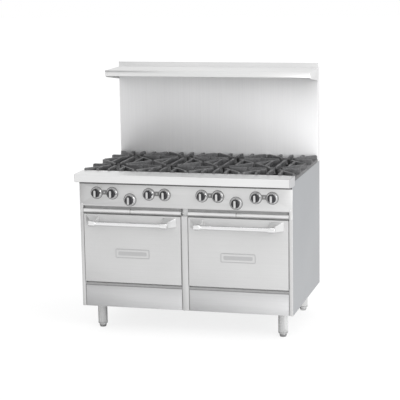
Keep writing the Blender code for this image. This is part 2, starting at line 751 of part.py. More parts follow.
def handle_bracket(c, sign):
    """A tapered foot: narrow at the tube, wider and taller where it is bolted to the door."""
    near_y, far_y = HANDLE_Y + 0.004, DOOR_FACE - GAP
    near = [(HANDLE_HALF - 0.038, HANDLE_HALF - 0.004), (HANDLE_Z - 0.016, HANDLE_Z + 0.016)]
    far = [(0.184, 0.259), (HANDLE_Z - 0.017, HANDLE_Z + 0.036)]
    bm = bmesh.new()
    rings = []
    for y, (xs, zs) in ((near_y, near), (far_y, far)):
        corners = [(xs[0], zs[0]), (xs[1], zs[0]), (xs[1], zs[1]), (xs[0], zs[1])]
        rings.append([bm.verts.new((c + sign * x, y, z)) for x, z in corners])
        bm.faces.new(rings[-1])
    for i in range(4):
        j = (i + 1) % 4
        bm.faces.new((rings[0][i], rings[0][j], rings[1][j], rings[1][i]))
    return solid(bm)


# ------------------------------------------------------------------ legs


def legs():
    """Tube legs under the corners, each with a screw foot."""
    bore, stem = 0.0105, 0.010
    stem_top = 0.055
    top = LEG_HEIGHT - GAP
    leg = part(
        "leg_front_left",
        turned(
            [(0, top), (0.034, top), (0.034, top - 0.004), (LEG_RADIUS, top - 0.006),
             (LEG_RADIUS, FOOT_REVEAL + 0.002), (LEG_RADIUS - 0.002, FOOT_REVEAL), (bore, FOOT_REVEAL),
             (bore, stem_top + 0.002), (0, stem_top + 0.002)],
            Vector((0, 0, 0)), "z",
        ),
        "chrome",
    )
    foot = part(
        "foot_front_left",
        turned(
            [(0, 0), (0.0155, 0), (0.018, 0.002), (FOOT_RADIUS, FOOT_REVEAL - 0.003),
             (FOOT_RADIUS, FOOT_REVEAL - GAP), (stem, FOOT_REVEAL - GAP), (stem, stem_top), (0, stem_top)],
            Vector((0, 0, 0)), "z",
        ),
        "chrome",
    )
    for row, y in LEG_Y.items():
        for side, sign in SIDES.items():
            place = (sign * LEG_X, y, 0)
            if (row, side) == ("front", "left"):
                leg.location = foot.location = place
            else:
                copy_of(leg, f"leg_{row}_{side}", place)
                copy_of(foot, f"foot_{row}_{side}", place)


def main():
    for old in list(bpy.data.objects):
        bpy.data.objects.remove(old)
    side_panels()
    rear_panel()
    base_frame()
    front_frame()
    valve_panel()
    front_rail()
    backguard()
    high_shelf()
    kick_panels()
    burner_box()
    heat_shield()
    gas_manifold()
    burner_castings()
    grates()
    drip_trays()
    knobs()
    oven_liners()
    oven_racks()
    oven_burners()
    doors()
    legs()


main()
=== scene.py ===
"""Looks for the commercial gas range: finishes, fine metalwork, cast grates, light and camera.

Everything is in metres in the range's own frame: X to the viewer's right, Y to the back, Z up.
"""

import math

import bmesh
import bpy
from mathutils import Matrix, Vector


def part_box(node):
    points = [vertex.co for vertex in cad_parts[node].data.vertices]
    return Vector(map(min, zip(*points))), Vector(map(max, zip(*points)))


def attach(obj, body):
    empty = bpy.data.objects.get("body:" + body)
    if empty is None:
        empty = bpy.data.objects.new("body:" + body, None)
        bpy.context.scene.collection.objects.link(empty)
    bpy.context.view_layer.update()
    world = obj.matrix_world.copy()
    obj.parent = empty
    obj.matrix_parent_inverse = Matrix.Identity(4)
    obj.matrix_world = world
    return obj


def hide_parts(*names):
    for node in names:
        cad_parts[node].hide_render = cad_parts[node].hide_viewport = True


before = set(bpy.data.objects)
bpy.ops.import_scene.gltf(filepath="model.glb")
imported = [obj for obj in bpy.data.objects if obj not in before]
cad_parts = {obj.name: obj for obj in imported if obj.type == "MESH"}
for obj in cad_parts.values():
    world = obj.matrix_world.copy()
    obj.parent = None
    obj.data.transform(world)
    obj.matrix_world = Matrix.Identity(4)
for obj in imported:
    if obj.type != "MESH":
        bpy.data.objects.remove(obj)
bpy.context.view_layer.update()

SMOOTH = math.radians(35)
BODY = "range_body"
SECTIONS = range(1, 5)
SIDES = {"left": -1, "right": 1}
TINY = 1e-6


# ------------------------------------------------------------------ frame measures


def corners(node):
    low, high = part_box(node)
    return Vector(low), Vector(high)


def middle(node):
    low, high = corners(node)
    return (low + high) / 2


PANEL_LOW, PANEL_HIGH = corners("valve_panel")
FRONT = PANEL_LOW.y
HALF_WIDTH = PANEL_HIGH.x
PANEL_LIP = 0.7175   # lower edge of the valve panel between its ears
STILE = 0.0185       # width of the frame's outer upright beside each door
POST = 0.017         # half the width of the frame's centre upright
DOOR_REVEAL = 0.0035  # depth of the grey gap fillers behind the frame's face, which paint the shade in the gaps
BURNER_HEIGHT = 0.052
BURNER_RIM = 0.048
OUT = Vector((0, -1, 0))
UP = Vector((0, 0, 1))
KNOBS = [f"burner_knob_{i}" for i in range(1, 9)]
DIALS = [f"oven_dial_{side}" for side in SIDES]


# ------------------------------------------------------------------ materials


class Nodes:
    """Short calls for building a material's node tree."""

    def __init__(self, name):
        self.material = bpy.data.materials.new(name)
        self.material.use_nodes = True
        self.tree = self.material.node_tree
        self.shader = self.tree.nodes["Principled BSDF"]

    def add(self, kind, **settings):
        node = self.tree.nodes.new(kind)
        for key, value in settings.items():
            if key in node.inputs:
                node.inputs[key].default_value = value
            else:
                setattr(node, key, value)
        return node

    def link(self, start, end):
        self.tree.links.new(start, end)

    def coordinates(self, scale=(1, 1, 1)):
        place = self.add("ShaderNodeTexCoord")
        mapping = self.add("ShaderNodeMapping")
        mapping.inputs["Scale"].default_value = scale
        self.link(place.outputs["Object"], mapping.inputs["Vector"])
        return mapping.outputs["Vector"]

    def noise(self, scale, detail=4.0, roughness=0.55, stretch=(1, 1, 1)):
        node = self.add("ShaderNodeTexNoise")
        node.inputs["Scale"].default_value = scale
        node.inputs["Detail"].default_value = detail
        node.inputs["Roughness"].default_value = roughness
        self.link(self.coordinates(stretch), node.inputs["Vector"])
        return node.outputs["Fac"]

    def span(self, source, low, high, from_low=0.0, from_high=1.0):
        node = self.add("ShaderNodeMapRange")
        node.inputs["From Min"].default_value = from_low
        node.inputs["From Max"].default_value = from_high
        node.inputs["To Min"].default_value = low
        node.inputs["To Max"].default_value = high
        self.link(source, node.inputs["Value"])
        return node.outputs["Result"]

    def ramp(self, source, stops):
        node = self.add("ShaderNodeValToRGB")
        elements = node.color_ramp.elements
        while len(elements) < len(stops):
            elements.new(0.5)
        for element, (position, colour) in zip(elements, stops):
            element.position = position
            element.color = (*colour, 1.0)
        self.link(source, node.inputs["Fac"])
        return node.outputs["Color"]

    def bump(self, source, strength, distance, below=None):
        node = self.add("ShaderNodeBump")
        node.inputs["Strength"].default_value = strength
        node.inputs["Distance"].default_value = distance
        self.link(source, node.inputs["Height"])
        if below:
            self.link(below, node.inputs["Normal"])
        return node.outputs["Normal"]

    def total(self, a, b, operation="ADD"):
        node = self.add("ShaderNodeMath", operation=operation)
        self.link(a, node.inputs[0])
        self.link(b, node.inputs[1])
        return node.outputs["Value"]

    def finish(self, metallic=0.0, colour=None, roughness=None, normal=None, **constants):
        self.shader.inputs["Metallic"].default_value = metallic
        for key, value in constants.items():
            self.shader.inputs[key].default_value = value
        for key, value in (("Base Color", colour), ("Roughness", roughness), ("Normal", normal)):
            if value is None:
                continue
            if isinstance(value, (tuple, float)):
                self.shader.inputs[key].default_value = value
            else:
                self.link(value, self.shader.inputs[key])
        return self.material


def stainless(name, grain, tint=(0.60, 0.60, 0.60), rough=(0.36, 0.46), metallic=0.7):
    """Brushed sheet: fine scratches along the grain axis over slow clouding."""
    n = Nodes(name)
    across = {"x": (0.6, 60, 60), "y": (60, 0.6, 60), "z": (60, 60, 0.6)}[grain]
    fine = {"x": (2.5, 420, 420), "y": (420, 2.5, 420), "z": (420, 420, 2.5)}[grain]
    lines = n.noise(4.0, 5.0, 0.65, across)
    scratches = n.noise(2.0, 6.0, 0.7, fine)
    clouds = n.noise(2.6, 3.0, 0.5)
    both = n.total(lines, scratches)
    dark, light = (tuple(channel * share for channel in tint) for share in (0.96, 1.04))
    colour = n.ramp(n.total(lines, clouds, "MULTIPLY"), [(0.12, dark), (0.42, light)])
    roughness = n.span(both, *rough, 0.6, 1.4)
    normal = n.bump(scratches, 0.08, 0.0004)
    return n.finish(metallic, colour, roughness, normal)


def flat_grey(name, level, rough=(0.5, 0.65)):
    """Plain flat grey: dark joints and plates, and the strips and rings that paint shade in gaps, under the
    plate rail and round the bezels.
    """
    n = Nodes(name)
    tone = n.ramp(n.noise(45.0), [(0.3, (level * 0.92,) * 3), (0.7, (level * 1.08,) * 3)])
    return n.finish(0.0, tone, n.span(n.noise(70.0), *rough))


def chrome(name="chrome", tint=0.86, rough=(0.10, 0.20)):
    n = Nodes(name)
    smudge = n.noise(9.0, 4.0, 0.6)
    colour = n.ramp(smudge, [(0.3, (tint * 0.96,) * 3), (0.7, (tint, tint, tint * 1.01))])
    normal = n.bump(n.noise(160.0, 2.0), 0.03, 0.0003)
    return n.finish(1.0, colour, n.span(smudge, *rough, 0.35, 0.65), normal)


def galvanised():
    """Dull coated sheet with soft crystal patches."""
    n = Nodes("galvanised")
    cells = n.add("ShaderNodeTexVoronoi", feature="F1")
    cells.inputs["Scale"].default_value = 55.0
    n.link(n.coordinates(), cells.inputs["Vector"])
    tone = n.ramp(cells.outputs["Color"], [(0.2, (0.36, 0.375, 0.39)), (0.8, (0.50, 0.515, 0.53))])
    normal = n.bump(cells.outputs["Distance"], 0.05, 0.0005)
    return n.finish(0.9, tone, n.span(n.noise(30.0), 0.42, 0.60), normal)


def cast_iron(name, dark, light, rough):
    """Sand-cast surface: pebbled skin, slow waviness and a burnt tone in patches."""
    n = Nodes(name)
    grit = n.noise(420.0, 3.0, 0.6)
    skin = n.noise(70.0, 4.0, 0.6)
    patches = n.noise(9.0, 4.0, 0.6)
    colour = n.ramp(n.total(patches, skin, "MULTIPLY"), [(0.16, dark), (0.36, light)])
    normal = n.bump(grit, 0.35, 0.0012, n.bump(skin, 0.30, 0.0025))
    return n.finish(0.35, colour, n.span(patches, *rough, 0.3, 0.7), normal)


def enamel():
    """Glossy dark enamel with fine pale flecks."""
    n = Nodes("enamel")
    flecks = n.add("ShaderNodeTexVoronoi", feature="F1")
    flecks.inputs["Scale"].default_value = 260.0
    n.link(n.coordinates(), flecks.inputs["Vector"])
    colour = n.ramp(flecks.outputs["Distance"], [(0.10, (0.42, 0.43, 0.46)), (0.17, (0.022, 0.024, 0.034))])
    return n.finish(0.0, colour, n.span(n.noise(14.0), 0.16, 0.30), n.bump(n.noise(120.0), 0.06, 0.0006))


def knob_plastic():
    n = Nodes("knob_plastic")
    colour = n.ramp(n.noise(24.0), [(0.3, (0.020, 0.020, 0.023)), (0.7, (0.034, 0.034, 0.038))])
    roughness = n.span(n.noise(40.0), 0.30, 0.46)
    return n.finish(0.0, colour, roughness, n.bump(n.noise(600.0, 2.0), 0.12, 0.0004))


def pointer_white():
    n = Nodes("pointer_white")
    colour = n.ramp(n.noise(60.0), [(0.3, (0.44, 0.44, 0.44)), (0.7, (0.52, 0.52, 0.52))])
    return n.finish(0.0, colour, n.span(n.noise(90.0), 0.35, 0.5))


def floor_paint():
    n = Nodes("floor_paint")
    colour = n.ramp(n.noise(0.8, 3.0), [(0.3, (0.21, 0.21, 0.21)), (0.7, (0.23, 0.23, 0.23))])
    glow = {"Emission Color": (1, 1, 1, 1), "Emission Strength": 0.80, "Specular IOR Level": 0.1}
    return n.finish(0.0, colour, n.span(n.noise(2.0), 0.75, 0.85), **glow)


MATERIALS = {
    "sheet_x": stainless("stainless_grain_x", "x"),
    "sheet_z": stainless("stainless_grain_z", "z"),
    "sheet_y": stainless("stainless_grain_y", "y"),
    # Side panels and rail end caps are the same brushed sheet made darker (tints 0.36 and 0.50 against
    # 0.60): painted shade on the faces that turn sideways.
    "side": stainless("stainless_side_painted_shade", "z", (0.36, 0.37, 0.385)),
    "cap": stainless("stainless_rail_cap_painted_shade", "z", (0.50, 0.50, 0.51)),
    "guard": stainless("stainless_backguard", "z", (0.77, 0.77, 0.775), (0.48, 0.58), 0.30),
    # A brighter copy of the brushed sheet (tint 0.72 against 0.60) with less roughness: painted light on
    # the plate rail, high shelf and tray bars.
    "rail": stainless("stainless_rail_painted_light", "x", (0.72, 0.72, 0.72), (0.26, 0.34)),
    "chrome": chrome(tint=0.82, rough=(0.12, 0.20)),
    "satin": chrome("satin_chrome", 0.84, (0.20, 0.30)),
    "cone": chrome("bezel_cone", 0.70, (0.20, 0.30)),
    # A darker copy of the chrome (0.50 against 0.82): painted shade on the bezel flanges. Badge bars and
    # rims, pilot screws and feet share it.
    "flange": chrome("bezel_flange_painted_shade", 0.50, (0.30, 0.40)),
    "leg": stainless("leg_tube", "z", (0.66, 0.66, 0.66), (0.22, 0.30), 0.6),
    "kick": stainless("stainless_kick", "x", (0.555, 0.555, 0.56), (0.44, 0.54), 0.5),
    "bracket": stainless("handle_bracket", "x", (0.70, 0.70, 0.70), (0.28, 0.36)),
    "galvanised": galvanised(),
    # Dark grey for the seams between tray bars. It is also painted shade on the strip under the rail, the
    # rings under the bezels and the gas ports.
    "dark_joint_and_shade": flat_grey("dark_joint_and_painted_shade", 0.09),
    # Grey fillers in the gaps round the doors: painted gap shade.
    "gap_shade": flat_grey("painted_gap_shade", 0.30),
    # Pilot plates and leg bands. It is also on the plates behind the panel ears, where it is painted shade.
    "plate": flat_grey("pilot_plate", 0.20),
    # Tray front wall: a real wall, with its grey set to the slot's shade, so partly painted shade.
    "wall": flat_grey("tray_wall_painted_shade", 0.30),
    "grate": cast_iron("grate_iron", (0.085, 0.085, 0.088), (0.165, 0.165, 0.168), (0.42, 0.58)),
    "burner": cast_iron("burner_iron", (0.045, 0.040, 0.036), (0.13, 0.115, 0.10), (0.62, 0.80)),
    "enamel": enamel(),
    "knob": knob_plastic(),
    "pointer": pointer_white(),
    "floor": floor_paint(),
}


# ------------------------------------------------------------------ mesh helpers


def made(name, bm, material, bevel=0.0, segments=2, smooth=SMOOTH):
    """A finished object from a bmesh, with softened edges."""
    bmesh.ops.recalc_face_normals(bm, faces=bm.faces)
    mesh = bpy.data.meshes.new(name)
    bm.to_mesh(mesh)
    bm.free()
    mesh.materials.append(MATERIALS[material])
    mesh.shade_smooth()
    mesh.set_sharp_from_angle(angle=smooth)
    piece = bpy.data.objects.new(name, mesh)
    bpy.context.scene.collection.objects.link(piece)
    if bevel:
        soften(piece, bevel, segments)
    return piece


def soften(piece, width, segments=2):
    modifier = piece.modifiers.new("Bevel", "BEVEL")
    modifier.width = width
    modifier.segments = segments
    modifier.limit_method = "ANGLE"
    modifier.angle_limit = math.radians(38)
    modifier.harden_normals = True


def settle(piece, body, *replaced, slot=None):
    """Put a finished piece on its body, in place of the CAD nodes that it stands for."""
    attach(piece, body)
    if replaced:
        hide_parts(*replaced)
    return piece


def turned(bm, profile, centre, axis, steps=48, closed=False):
    """Turn (radius, distance) points about an axis through centre. A radius of 0 closes an end."""
    axis = Vector(axis).normalized()
    first = axis.orthogonal().normalized()
    second = axis.cross(first)
    rings = []
    for radius, along in profile:
        count = steps if radius > TINY else 1
        rings.append([
            bm.verts.new(centre + axis * along + radius * (first * math.cos(a) + second * math.sin(a)))
            for a in (2 * math.pi * i / steps for i in range(count))
        ])
    pairs = list(zip(rings, rings[1:]))
    if closed:
        pairs.append((rings[-1], rings[0]))
    for low, high in pairs:
        for i in range(steps):
            j = (i + 1) % steps
            quad = (low[i % len(low)], low[j % len(low)], high[j % len(high)], high[i % len(high)])
            quad = list(dict.fromkeys(quad))
            if len(quad) > 2:
                bm.faces.new(quad)
    return bm


def prism(bm, outline, place, low, high):
    """Carry an outline of 2D points from low to high. place(u, v, t) gives the world point."""
    near = [bm.verts.new(place(u, v, low)) for u, v in outline]
    far = [bm.verts.new(place(u, v, high)) for u, v in outline]
    bm.faces.new(near)
    bm.faces.new(far)
    for i in range(len(outline)):
        j = (i + 1) % len(outline)
        bm.faces.new((near[i], near[j], far[j], far[i]))
    return bm


def along_x(u, v, t):
    return Vector((t, u, v))


def along_z(u, v, t):
    return Vector((u, v, t))


def lofted(bm, rings, closed=False):
    """Join rings of equally many points, capping both ends or, when closed, joining last to first."""
    rows = [[bm.verts.new(point) for point in ring] for ring in rings]
    if not closed:
        bm.faces.new(rows[0])
        bm.faces.new(rows[-1])
    for near, far in zip(rows, rows[1:] + rows[:1] if closed else rows[1:]):
        for i in range(len(near)):
            j = (i + 1) % len(near)
            bm.faces.new((near[i], near[j], far[j], far[i]))
    return bm


def slab(bm, low, high):
    (x0, y0, z0), (x1, y1, z1) = low, high
    return prism(bm, [(x0, y0), (x1, y0), (x1, y1), (x0, y1)], along_z, z0, z1)


def arc(centre, radius, start, end, steps):
    angles = [math.radians(start + (end - start) * i / steps) for i in range(steps + 1)]
    return [(centre[0] + radius * math.cos(a), centre[1] + radius * math.sin(a)) for a in angles]


def rounded(half_u, half_v, radius, steps=6):
    """A rectangle about the origin with round corners."""
    points = []
    for su, sv, start in ((1, 1, 0), (-1, 1, 90), (-1, -1, 180), (1, -1, 270)):
        centre = (su * (half_u - radius), sv * (half_v - radius))
        points += arc(centre, radius, start, start + 90, steps)
    return points


def thickened(path, thickness):
    """A closed outline around a folded sheet whose outer face follows the path."""
    points = [Vector(p) for p in path]
    ways = [(b - a).normalized() for a, b in zip(points, points[1:])]
    normals = [Vector((-w.y, w.x)) for w in ways]
    inner = [points[0] + normals[0] * thickness]
    for point, before, after in zip(points[1:], normals, normals[1:]):
        mitre = (before + after).normalized()
        inner.append(point + mitre * thickness / mitre.dot(after))
    inner.append(points[-1] + normals[-1] * thickness)
    return [tuple(p) for p in points + inner[::-1]]


def dress(node, material, bevel=0.0010, segments=2):
    """Give a CAD node its finish and soften its edges, leaving its mesh as it is."""
    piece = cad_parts[node]
    piece.data.materials.clear()
    piece.data.materials.append(MATERIALS[material])
    weld = piece.modifiers.new("Weld", "WELD")
    weld.merge_threshold = 1e-5
    if bevel:
        soften(piece, bevel, segments)
    piece.data.shade_smooth()
    piece.data.set_sharp_from_angle(angle=SMOOTH)
    return piece


# ------------------------------------------------------------------ sheet metal


def sheet_metal():
    """Finish the sheet nodes. Broad flat panels lose their inner edges, so that they shade evenly."""
    broad = {"side_panel_left": "side", "side_panel_right": "side", "rear_panel": "galvanised"}
    for node, material in broad.items():
        panel = dress(node, material, 0.0)
        planar = panel.modifiers.new("Planar", "DECIMATE")
        planar.decimate_type = "DISSOLVE"
        planar.angle_limit = math.radians(0.2)
        soften(panel, 0.0010)
    for side in SIDES:
        dress(f"kick_panel_{side}", "kick", 0.0012)
        dress(f"door_{side}_shell", "sheet_x", 0.0020, 3)
        dress(f"door_{side}_liner", "enamel", 0.0012)
        dress(f"oven_liner_{side}", "enamel", 0.0012)
    dress("front_frame", "sheet_z", 0.0008)
    dress("valve_panel", "sheet_x", 0.0010)
    dress("backguard", "guard", 0.0012)
    dress("high_shelf", "rail", 0.0010)
    for node in ("base_frame", "burner_box", "heat_shield", "gas_manifold"):
        dress(node, "galvanised", 0.0)


def strip(name, low, high, material, body=BODY):
    """A thin straight piece of trim."""
    bm = bmesh.new()
    slab(bm, low, high)
    return settle(made(name, bm, material), body, slot="galvanised")


def painted_shade_trim():
    """Strips that paint shade: a dark strip under the plate rail for its shadow line, and grey fillers in
    the gaps round the doors and behind the panel ears.
    """
    shadow_height, stand_out, end_gap = 0.0098, 0.0008, 0.001
    # Dark strip under the rail: painted shadow line.
    strip("rail_painted_shadow", (-HALF_WIDTH + end_gap, FRONT - stand_out, PANEL_HIGH.z - shadow_height),
          (HALF_WIDTH - end_gap, FRONT, PANEL_HIGH.z), "dark_joint_and_shade")
    door_low, door_high = corners("door_right_shell")
    kick_low, kick_high = corners("kick_panel_right")
    tray_low, tray_high = corners("drip_tray_4")
    stile_x = HALF_WIDTH - STILE
    gap, ledge_drop = 0.0004, 0.0087
    # Grey fillers beside, above and below each door and behind each panel ear: painted shade in the gaps.
    # The ledge backs are plain sheet.
    for side, sign in SIDES.items():
        outer = sorted((sign * (door_high.x + gap), sign * stile_x))
        inner = sorted((sign * POST, sign * (door_low.x - gap)))
        for label, (x0, x1) in (("outer", outer), ("inner", inner)):
            strip(f"seal_{side}_{label}", (x0, FRONT + DOOR_REVEAL, kick_low.z),
                  (x1, FRONT + DOOR_REVEAL + 0.024, door_high.z), "gap_shade")
        x0, x1 = sorted((sign * POST, sign * stile_x))
        strip(f"seal_{side}_top", (x0, FRONT + 0.008, door_high.z + 0.002),
              (x1, FRONT + 0.020, tray_low.z - 0.0005), "gap_shade")
        strip(f"ledge_{side}_face", (x0, FRONT + 0.0052, kick_high.z + 0.0012),
              (x1, FRONT + 0.006, door_low.z - ledge_drop), "gap_shade")
        strip(f"ledge_{side}_back", (x0, FRONT + 0.020, door_low.z - ledge_drop),
              (x1, FRONT + 0.030, door_low.z - 0.0008), "sheet_x")
        x0, x1 = sorted((sign * (tray_high.x + 0.0007), sign * stile_x))
        strip(f"ear_{side}_back", (x0, FRONT + DOOR_REVEAL, PANEL_LOW.z + 0.004),
              (x1, FRONT + 0.024, PANEL_LIP - 0.001), "plate")


def screw(name, centre, axis, radius=0.0042, height=0.0022):
    """A pan-head screw with a round recess."""
    bm = bmesh.new()
    dome = [(radius, 0.0), (radius, height * 0.35), (radius * 0.86, height * 0.75),
            (radius * 0.5, height * 0.97), (radius * 0.34, height)]
    slot = [(radius * 0.30, height * 0.45), (0, height * 0.40)]
    turned(bm, [(0, -0.0005), (radius, -0.0005)] + dome + slot, Vector(centre), axis, 24)
    return settle(made(name, bm, "satin"), BODY, slot="chrome")


def front_screws():
    """One screw low on each ear of the valve panel."""
    up, inset = 0.051, 0.012
    for side, sign in SIDES.items():
        screw(f"ear_screw_{side}", (sign * (HALF_WIDTH - inset), FRONT, PANEL_LOW.z + up), OUT)


def plate_rail():
    """Plate rail as one folded sheet: flat top, round nose, upright face and a tucked-under lip."""
    low, high = corners("front_rail")
    sheet, nose = 0.0022, 0.0085
    front, top, rear = low.y, high.z, high.y
    face_low = top - 0.039
    path = [(rear, top - 0.034), (rear, top - 0.001), (rear - 0.001, top)]
    path += arc((front + nose, top - nose), nose, 90, 180, 8)
    path += arc((front + 0.006, face_low), 0.006, 180, 250, 5)
    path += [(FRONT - 0.001, low.z + 0.0004)]
    bm = bmesh.new()
    prism(bm, thickened(path, sheet), along_x, low.x + sheet, high.x - sheet)
    rail = made("plate_rail", bm, "rail", 0.0004, 1)
    settle(rail, BODY, "front_rail", slot="stainless")
    cap = path[1:] + [(rear, low.z + 0.0004)]
    for side, sign in SIDES.items():
        bm = bmesh.new()
        inner, outer = sorted((sign * (high.x - sheet), sign * high.x))
        prism(bm, cap, along_x, inner, outer)
        settle(made(f"plate_rail_cap_{side}", bm, "cap", 0.0006, 2), BODY, slot="stainless")


def badges():
    """A plate with a raised rim and a plain bar on each door."""
    half_x, half_z, z = 0.097, 0.025, 0.455
    rim_width = 0.0035
    for side in SIDES:
        node = f"door_{side}_shell"
        x, face = middle(node).x, corners(node)[0].y

        def place(u, v, t, x=x, face=face):
            return Vector((x + u, face - t, z + v))

        bm = bmesh.new()
        prism(bm, rounded(half_x, half_z, 0.006), place, 0.0002, 0.0016)
        plate = made(f"badge_plate_{side}", bm, "sheet_x", 0.0004)
        settle(plate, f"door_{side}", slot="stainless")
        bm = bmesh.new()
        prism(bm, rounded(half_x - 0.016, half_z * 0.42, 0.006), place, 0.0014, 0.0026)
        settle(made(f"badge_bar_{side}", bm, "flange", 0.0004), f"door_{side}", slot="chrome")
        bm = bmesh.new()
        outer = rounded(half_x, half_z, 0.006)
        inner = rounded(half_x - rim_width, half_z - rim_width, 0.003)
        stages = ((outer, 0.0016), (outer, 0.0030), (inner, 0.0030), (inner, 0.0016))
        rings = [[place(u, v, height) for u, v in outline] for outline, height in stages]
        lofted(bm, rings, closed=True)
        rim = made(f"badge_rim_{side}", bm, "flange", 0.0003)
        settle(rim, f"door_{side}", slot="chrome")


# ------------------------------------------------------------------ knobs


def knob(node, radius):
    """Skirted knob with a finger grip and a pale pointer along the grip."""
    low, high = corners(node)
    centre = middle(node)
    back, depth = high.y, high.y - low.y
    skirt = depth * 0.46
    bm = bmesh.new()
    base = Vector((centre.x, back, centre.z))
    profile = [(0, 0.001), (radius - 0.0012, 0.001), (radius, 0.003), (radius - 0.0006, skirt - 0.0035)]
    profile += [(radius - 0.0040 + 0.0034 * math.cos(a), skirt - 0.0030 + 0.0030 * math.sin(a))
                for a in (math.radians(d) for d in range(0, 91, 15))]
    profile += [(0, skirt + 0.0006)]
    turned(bm, profile, base, OUT, 64)
    body = made(f"{node}_skirt", bm, "knob")
    settle(body, node, node, slot="knob_black")

    def place(u, v, t):
        return Vector((centre.x + u, back - t, centre.z + v))

    bm = bmesh.new()
    half, wide = radius - 0.0015, 0.0092
    foot = rounded(wide, half, 0.0075, 8)
    head = rounded(wide - 0.0024, half - 0.0030, 0.0058, 8)
    crown = rounded(wide - 0.0034, half - 0.004, 0.0048, 8)
    stages = ((foot, skirt - 0.002), (foot, skirt + 0.002), (head, depth - 0.0012), (crown, depth))
    lofted(bm, [[place(u, v, height) for u, v in outline] for outline, height in stages])
    grip = made(f"{node}_grip", bm, "knob", 0.0, smooth=math.radians(60))
    settle(grip, node, slot="knob_black")
    bm = bmesh.new()
    prism(bm, rounded(0.0058, half - 0.0036, 0.0050, 6), place, depth - 0.001, depth + 0.0004)
    pointer = made(f"{node}_pointer", bm, "pointer", 0.0002)
    settle(pointer, node, slot="chrome")


def bezel(node, radius, tall):
    """Bright dished ring round a knob. Its flange takes the darker chrome, and a dark ring lies under its
    edge on the panel: painted shade along the bezel's edge.
    """
    centre = middle(node)
    base = Vector((centre.x, FRONT, centre.z))
    # Dark ring under the bezel's edge: painted shadow.
    bm = bmesh.new()
    edge = radius + 0.0027
    turned(bm, [(radius - 0.004, 0.0), (edge, 0.0), (edge, 0.0006), (radius - 0.004, 0.0006)],
           base, OUT, 72, closed=True)
    settle(made(f"bezel_shadow_ring_{node}", bm, "dark_joint_and_shade"), BODY, slot="knob_black")
    # Outer flange in the darker chrome: painted shade.
    bm = bmesh.new()
    cone = radius * 0.86
    profile = [(cone - 0.003, 0.0), (radius, 0.0), (radius, 0.0014), (radius - 0.0008, 0.0022),
               (radius - 0.0022, 0.0024), (cone - 0.003, 0.0014)]
    turned(bm, profile, base, OUT, 72, closed=True)
    settle(made(f"bezel_flange_painted_shade_{node}", bm, "flange"), BODY, slot="chrome")
    bm = bmesh.new()
    inner = radius * 0.66
    profile = [(inner - 0.002, 0.0), (cone, 0.0), (cone + 0.0004, 0.0022), (cone - 0.0004, 0.0044),
               (cone - 0.0016, 0.0052), (inner + 0.0016, tall - 0.0016), (inner, tall),
               (inner - 0.0014, tall - 0.0006), (inner - 0.002, tall - 0.003)]
    turned(bm, profile, base, OUT, 72, closed=True)
    settle(made(f"bezel_{node}", bm, "cone"), BODY, slot="chrome")


def pilot_adjusters():
    """Between each pair of knobs: a small plate with a recessed adjusting screw."""
    for section in SECTIONS:
        left, right = middle(f"burner_knob_{2 * section - 1}"), middle(f"burner_knob_{2 * section}")
        x, z = (left.x + right.x) / 2, left.z + 0.004

        def place(u, v, t, x=x, z=z):
            return Vector((x + u, FRONT - t, z + v))

        bm = bmesh.new()
        prism(bm, rounded(0.0135, 0.0130, 0.002, 4), place, 0.0, 0.0005)
        settle(made(f"pilot_plate_{section}", bm, "plate", 0.0003), BODY, slot="galvanised")
        bm = bmesh.new()
        turned(bm, [(0.0044, 0.0007), (0.0044, 0.0022), (0.0036, 0.0028), (0.0012, 0.0028),
                    (0.0010, 0.0020), (0, 0.0020)], Vector((x, FRONT, z)), OUT, 32)
        settle(made(f"pilot_screw_{section}", bm, "flange"), BODY, slot="chrome")


def knobs():
    bezel_height = 0.0130
    for nodes, knob_radius, bezel_radius in ((KNOBS, 0.0236, 0.0318), (DIALS, 0.0245, 0.0332)):
        for node in nodes:
            knob(node, knob_radius)
            bezel(node, bezel_radius, bezel_height)
    pilot_adjusters()


# ------------------------------------------------------------------ door handles


def handles():
    """Bright tube in two cast brackets that widen towards the door."""
    for side, sign in SIDES.items():
        node, body = f"door_{side}_handle", f"door_{side}"
        low, high = corners(node)
        centre_x = middle(node).x
        door_face = high.y
        tube, boss, long = 0.0125, 0.017, 0.043
        y = low.y + boss
        z = low.z + boss
        half = 0.2245
        bm = bmesh.new()
        reach = half - 0.010
        rod = [(0, 0), (tube, 0), (tube, 2 * reach), (0, 2 * reach)]
        turned(bm, rod, Vector((centre_x - reach, y, z)), (1, 0, 0), 48)
        bar = made(f"handle_tube_{side}", bm, "chrome")
        settle(bar, body, node, slot="chrome")
        for end in (-1, 1):
            label = f"{side}_{'outer' if end == sign else 'inner'}"
            bm = bmesh.new()
            ferrule = [(0, 0), (boss - 0.003, 0), (boss - 0.0008, 0.0008), (boss, 0.003),
                       (boss, long - 0.010), (boss - 0.001, long - 0.0065), (boss - 0.0026, long - 0.006),
                       (boss - 0.0026, long - 0.001), (tube - 0.0005, long), (0, long)]
            turned(bm, ferrule, Vector((centre_x + end * half, y, z)), (-end, 0, 0), 48)
            settle(made(f"handle_ferrule_{label}", bm, "chrome"), body, slot="chrome")
            bracket = handle_bracket(f"handle_bracket_{label}", centre_x, end, y, z, door_face)
            settle(bracket, body, slot="chrome")


def handle_bracket(name, centre_x, end, tube_y, tube_z, door_face):
    """A tapered foot lofted from the tube to a wider pad on the door."""
    stages = 6
    near = (0.1870, 0.2200, tube_z - 0.0155, tube_z + 0.0155)
    far = (0.184, 0.259, tube_z - 0.017, tube_z + 0.036)
    rings = []
    for i in range(stages + 1):
        t = i / stages
        x0, x1, z0, z1 = (a + (b - a) * t ** 1.25 for a, b in zip(near, far))
        y = tube_y + 0.002 + (door_face - tube_y - 0.002) * t
        outline = rounded((x1 - x0) / 2, (z1 - z0) / 2, 0.0045, 4)
        x, z = centre_x + end * (x0 + x1) / 2, (z0 + z1) / 2
        rings.append([(x + end * u, y, z + v) for u, v in outline])
    bm = lofted(bmesh.new(), rings)
    return made(name, bm, "bracket", smooth=math.radians(50))


# ------------------------------------------------------------------ drip trays


